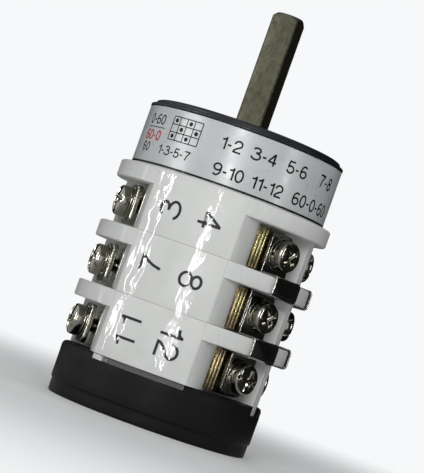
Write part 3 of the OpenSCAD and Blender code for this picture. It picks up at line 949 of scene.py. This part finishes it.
def print_round(name, marks, radius, material, thickness):
    """Prints flat marks, each (drawing, azimuth, height), on a cylinder as one piece."""
    whole = bmesh.new()
    scrap = bpy.data.meshes.new("mark")
    lift = 0.002
    for drawing, azimuth, z in marks:
        wrap(drawing, radius + lift, azimuth, z)
        thicken(drawing, thickness)
        drawing.to_mesh(scrap)
        drawing.free()
        whole.from_mesh(scrap)
    bpy.data.meshes.remove(scrap)
    new_piece(make_object(name, whole, material), HOUSING, "label_paper")


class SWITCH_OT_numbers(bpy.types.Operator):
    """Prints the terminal numbers on the front and back panels."""

    bl_idname = "switch.numbers"
    bl_label = "Terminal numbers"

    # Each number of the front panel and of the back one, its angle from the middle of the panel in degrees,
    # and its height above the base in millimetres
    numbers = (
        ("3", "2", -11.4, 52.7), ("7", "6", -11.4, 38.3), ("11", "10", -11.2, 20.75),
        ("4", "1", 10.0, 52.9), ("8", "5", 10.6, 37.8), ("12", "9", 11.2, 21.7),
    )
    # How numbers left and right of the middle are turned, in degrees, and their height and the space
    # between their digits, as shares of the mean height
    left = (90, 0.98, 0.57)
    right = (-90, 1.02, 0.32)

    def execute(self, context):
        height = context.scene.switch_sizes.number_h
        marks = []
        for front, back, azimuth, z in self.numbers:
            turn, share, gap = self.left if azimuth < 0 else self.right
            for text, start in ((front, 0), (back, 180)):
                marks.append((lettering(text, height * share, turn, gap=gap), start + azimuth, z))
        print_round("terminal_numbers", marks, PANEL_R, ink(context), thickness=0.03)
        return {"FINISHED"}


class SWITCH_OT_label(bpy.types.Operator):
    """Finishes the paper label and prints a plain contact chart on it."""

    bl_idname = "switch.label"
    bl_label = "Label"

    # Each text, its height, its angle from the start of the label in degrees, and its level on the label
    black = (
        ("1-2", 3.1, 7, 10.4), ("3-4", 3.1, 26, 10.4), ("5-6", 3.1, 47, 10.4), ("7-8", 3.1, 73, 10.4),
        ("9-10", 3.1, 10, 3.7), ("11-12", 3.1, 33, 3.7), ("60-0-60", 3.1, 67, 3.7),
        ("0-60", 2.5, -47, 11.6), ("60", 2.3, -50, 4.3), ("1-3-5-7", 2.3, -25, 4.3),
    )
    red = ("60-0", 2.5, -47, 7.4)

    def execute(self, context):
        paper = finish(context, "label_paper", moulded, "paper", roughness=0.3, grain_depth=0.002)
        dress("label", paper, soft=True)
        low = node_bottom("label")
        # A dark line in ink all round the label, just above its lower edge
        seam, dark_line, dark_line_level = 0.4, 0.5, 0.35
        black = [(bar(2 * math.pi * LABEL_R - seam, dark_line), 0, low + dark_line_level)]
        red = []
        for start in (0, 180):
            black += self.chart(start - 22, low + 10.2)
            black += [self.text(start, low, row, weight=0.15) for row in self.black]
            black.append((bar(8.0, 0.2), start - 46, low + 9.5))
            red.append(self.text(start, low, self.red, weight=0.17))
        red_ink = finish(context, "red_ink", print_ink, "red_ink")
        print_round("label_print", black, LABEL_R, ink(context), thickness=0.02)
        print_round("label_red_print", red, LABEL_R, red_ink, thickness=0.02)
        return {"FINISHED"}

    def text(self, start, low, row, weight):
        """One text as a mark on the label."""
        text, height, azimuth, level = row
        return lettering(text, height, weight=weight), start + azimuth, low + level

    def chart(self, azimuth, middle):
        """A plain grid with dots, as a contact chart has."""
        width, rows, columns, pitch, line, dot_r = 9.2, 3, 4, 2.0, 0.26, 0.55
        marks = []
        for row in range(rows + 1):
            marks.append((bar(width, line), azimuth, middle + (row - rows / 2) * pitch))
        for column in range(columns + 1):
            x = (column / columns - 0.5) * width
            marks.append((bar(line, rows * pitch, x), azimuth, middle))
        for row, column in ((0, 0), (0, 2), (1, 1), (1, 3), (2, 0), (2, 2)):
            x = ((column + 0.5) / columns - 0.5) * width
            marks.append((dot(dot_r, x), azimuth, middle + (row + 0.5 - rows / 2) * pitch))
        return marks


class SWITCH_OT_films(bpy.types.Operator):
    """Makes the clear film over each numbered panel, loose enough to wave."""

    bl_idname = "switch.films"
    bl_label = "Clear films"

    def execute(self, context):
        sizes = context.scene.switch_sizes
        thickness, wave = sizes.film_t, sizes.film_wave
        clear = clear_film("clear_film")
        columns, rows, clearance = 90, 120, 0.06
        for side, turn in (("front", 0.0), ("back", 180.0)):
            low, high = node_bottom(f"{side}_film"), node_top(f"{side}_film")
            bm = bmesh.new()
            grid = []
            for j in range(rows + 1):
                v = j / rows
                line = []
                for i in range(columns + 1):
                    u = i / columns
                    azimuth = FILM_AZ * (2 * u - 1)
                    radius = PANEL_R + clearance + thickness + wave * self.wave(u, v)
                    line.append(bm.verts.new(at_azimuth(radius, azimuth + turn, low + v * (high - low))))
                grid.append(line)
            skin(bm, grid)
            film = make_object(f"clear_film_{side}", bm, clear)
            wall = film.modifiers.new("Wall", "SOLIDIFY")
            wall.thickness = thickness * MM
            wall.offset = -1.0
            smooth(film.data, 60)
            new_piece(film, HOUSING, "clear_film", f"{side}_film")
        return {"FINISHED"}

    def wave(self, u, v):
        """How far the film stands off at a place, from 0 to 1. It is held along both edges."""
        held = math.sin(math.pi * u) ** 0.5
        ripple = (
            0.34 * math.sin(9.5 * v + 5.0 * u)
            + 0.26 * math.sin(23.0 * v - 11.0 * u + 1.3)
            + 0.2 * math.sin(41.0 * v + 16.0 * u + 0.4)
            + 0.2 * math.sin(17.0 * u + 6.0 * math.sin(5.0 * v))
        )
        return held * (0.5 + 0.5 * ripple)


BACKGROUND = (0.93, 0.94, 0.95, 1)


class SWITCH_OT_stage(bpy.types.Operator):
    """Sets the floor, the even light, the lamps and the camera."""

    bl_idname = "switch.stage"
    bl_label = "Stage"

    def execute(self, context):
        settings = context.scene.switch_stage
        self.floor()
        self.world(settings)
        self.lamps(settings)
        self.dark_card()
        self.camera(settings)
        context.scene.view_settings.view_transform = "Standard"
        return {"FINISHED"}

    def floor(self):
        """A pale floor that takes the object's shadow near it and runs into the background further out."""
        radius, shadow_to, background_from = 12, 0.06, 0.3
        bm = bmesh.new()
        bmesh.ops.create_circle(bm, cap_ends=True, segments=96, radius=radius)
        s = Shade("floor_pale", (0.85, 0.86, 0.87), 0.6)
        s.shader.inputs["Specular IOR Level"].default_value = 0.0
        distance = s.add("ShaderNodeVectorMath", {0: s.place}, operation="LENGTH")["Value"]
        away = s.ramp(distance, shadow_to, background_from)
        pale = s.add("ShaderNodeEmission", {"Color": BACKGROUND})["Emission"]
        share = calc(s.tree, "MULTIPLY", plainly_seen(s.tree), away)
        s.surface(mix_shaders(s.tree, share, s.shader.outputs["BSDF"], pale))
        make_object("floor", bm, s.material)

    def world(self, settings):
        """Pale background to the eye and in reflections, plain even light otherwise."""
        world = bpy.data.worlds.new("studio")
        bpy.context.scene.world = world
        world.use_nodes = True
        tree = world.node_tree
        light = tree.nodes["Background"]
        light.inputs["Color"].default_value = (1, 1, 1, 1)
        light.inputs["Strength"].default_value = settings.world
        pale = add_node(tree, "ShaderNodeBackground", {"Color": BACKGROUND})["Background"]
        both = mix_shaders(tree, plainly_seen(tree), light.outputs["Background"], pale)
        tree.links.new(both, tree.nodes["World Output"].inputs["Surface"])

    def lamps(self, settings):
        """Soft panels above the camera and behind, and narrow strips that shine on what is glossy."""
        strip = settings.strip_power
        aim = Vector((0, 0, 0.045))
        # Name, angle from the front in degrees, distance, width, height and level in metres, and power
        for name, azimuth, distance, width, height, level, power in (
            ("key_panel", 9, 0.8, 0.5, 0.4, 0.36, settings.key_power),
            ("back_panel", 200, 0.8, 0.5, 0.4, 0.3, settings.back_power),
            ("left_strip", -57, 0.6, 0.028, 0.5, 0.1, strip * 1.9),
            ("middle_strip", -46, 0.6, 0.02, 0.5, 0.1, strip * 1.5),
            ("near_strip", 7, 0.6, 0.04, 0.4, 0.14, strip * 2.5),
            ("right_strip", 70, 0.6, 0.04, 0.4, 0.12, strip),
        ):
            lamp = bpy.data.lights.new(name, "AREA")
            lamp.shape = "RECTANGLE"
            lamp.size = width
            lamp.size_y = height
            lamp.energy = power
            obj = put(name, lamp)
            a = math.radians(azimuth)
            obj.location = (distance * math.sin(a), -distance * math.cos(a), level)
            obj.rotation_euler = (aim - obj.location).to_track_quat("-Z", "Y").to_euler()
            obj.visible_camera = False
            obj.visible_diffuse = name.endswith("panel")
            obj.visible_glossy = not obj.visible_diffuse

    def dark_card(self):
        """A dark card round the back and on the floor there, seen only in reflections.

        It gives the metal its dark faces.
        """
        first, last, step = 46, 250, 6
        near, far, floor_level, top = 50, 800, 1, 1200
        bm = bmesh.new()
        rows = [
            [bm.verts.new(at_azimuth(radius, azimuth, z)) for azimuth in range(first, last, step)]
            for radius, z in ((near, floor_level), (far, floor_level), (far, top))
        ]
        skin(bm, rows)
        black = Shade("card_black", (0.01, 0.01, 0.01), 0.9)
        card = make_object("dark_card", bm, black.material)
        card.visible_camera = card.visible_diffuse = card.visible_shadow = False

    def camera(self, settings):
        """The photograph's view: level with the decks, from the right of the front, rolled."""
        cam = bpy.data.cameras.new("camera")
        cam.lens = settings.lens
        obj = put("camera", cam)
        across, along = math.sin(settings.azimuth), math.cos(settings.azimuth)
        obj.location = (settings.distance * across, -settings.distance * along, settings.height)
        towards = Vector((0, 0, settings.aim)) - obj.location
        obj.rotation_mode = "QUATERNION"
        roll = Quaternion((0, 0, 1), settings.roll)
        obj.rotation_quaternion = towards.to_track_quat("-Z", "Y") @ roll
        bpy.context.scene.camera = obj


PIECES = (
    SWITCH_OT_stage,
    SWITCH_OT_housing,
    SWITCH_OT_shaft,
    SWITCH_OT_inner_parts,
    SWITCH_OT_contact_strips,
    SWITCH_OT_link_straps,
    SWITCH_OT_clamp_plates,
    SWITCH_OT_washers,
    SWITCH_OT_terminal_screws,
    SWITCH_OT_label,
    SWITCH_OT_numbers,
    SWITCH_OT_films,
)
GROUPS = {"switch_colours": SwitchColours, "switch_sizes": SwitchSizes, "switch_stage": StageSettings}


class SWITCH_PT_panel(bpy.types.Panel):
    """Lists the steps and their sizes and colours."""

    bl_label = "Motor Reversing Switch"
    bl_idname = "SWITCH_PT_panel"
    bl_space_type = "VIEW_3D"
    bl_region_type = "UI"
    bl_category = "Switch"

    def draw(self, context):
        for name, group in GROUPS.items():
            box = self.layout.box()
            for key in group.__annotations__:
                box.prop(getattr(context.scene, name), key)
        for piece in PIECES:
            self.layout.operator(piece.bl_idname)


def register():
    for cls in (*GROUPS.values(), *PIECES, SWITCH_PT_panel):
        bpy.utils.register_class(cls)
    for name, group in GROUPS.items():
        setattr(bpy.types.Scene, name, bpy.props.PointerProperty(type=group))


def unregister():
    for name in GROUPS:
        delattr(bpy.types.Scene, name)
    for cls in reversed((*GROUPS.values(), *PIECES, SWITCH_PT_panel)):
        bpy.utils.unregister_class(cls)


def main():
    register()
    for piece in PIECES:
        group, name = piece.bl_idname.split(".")
        getattr(getattr(bpy.ops, group), name)()


if __name__ == "__main__":
    main()
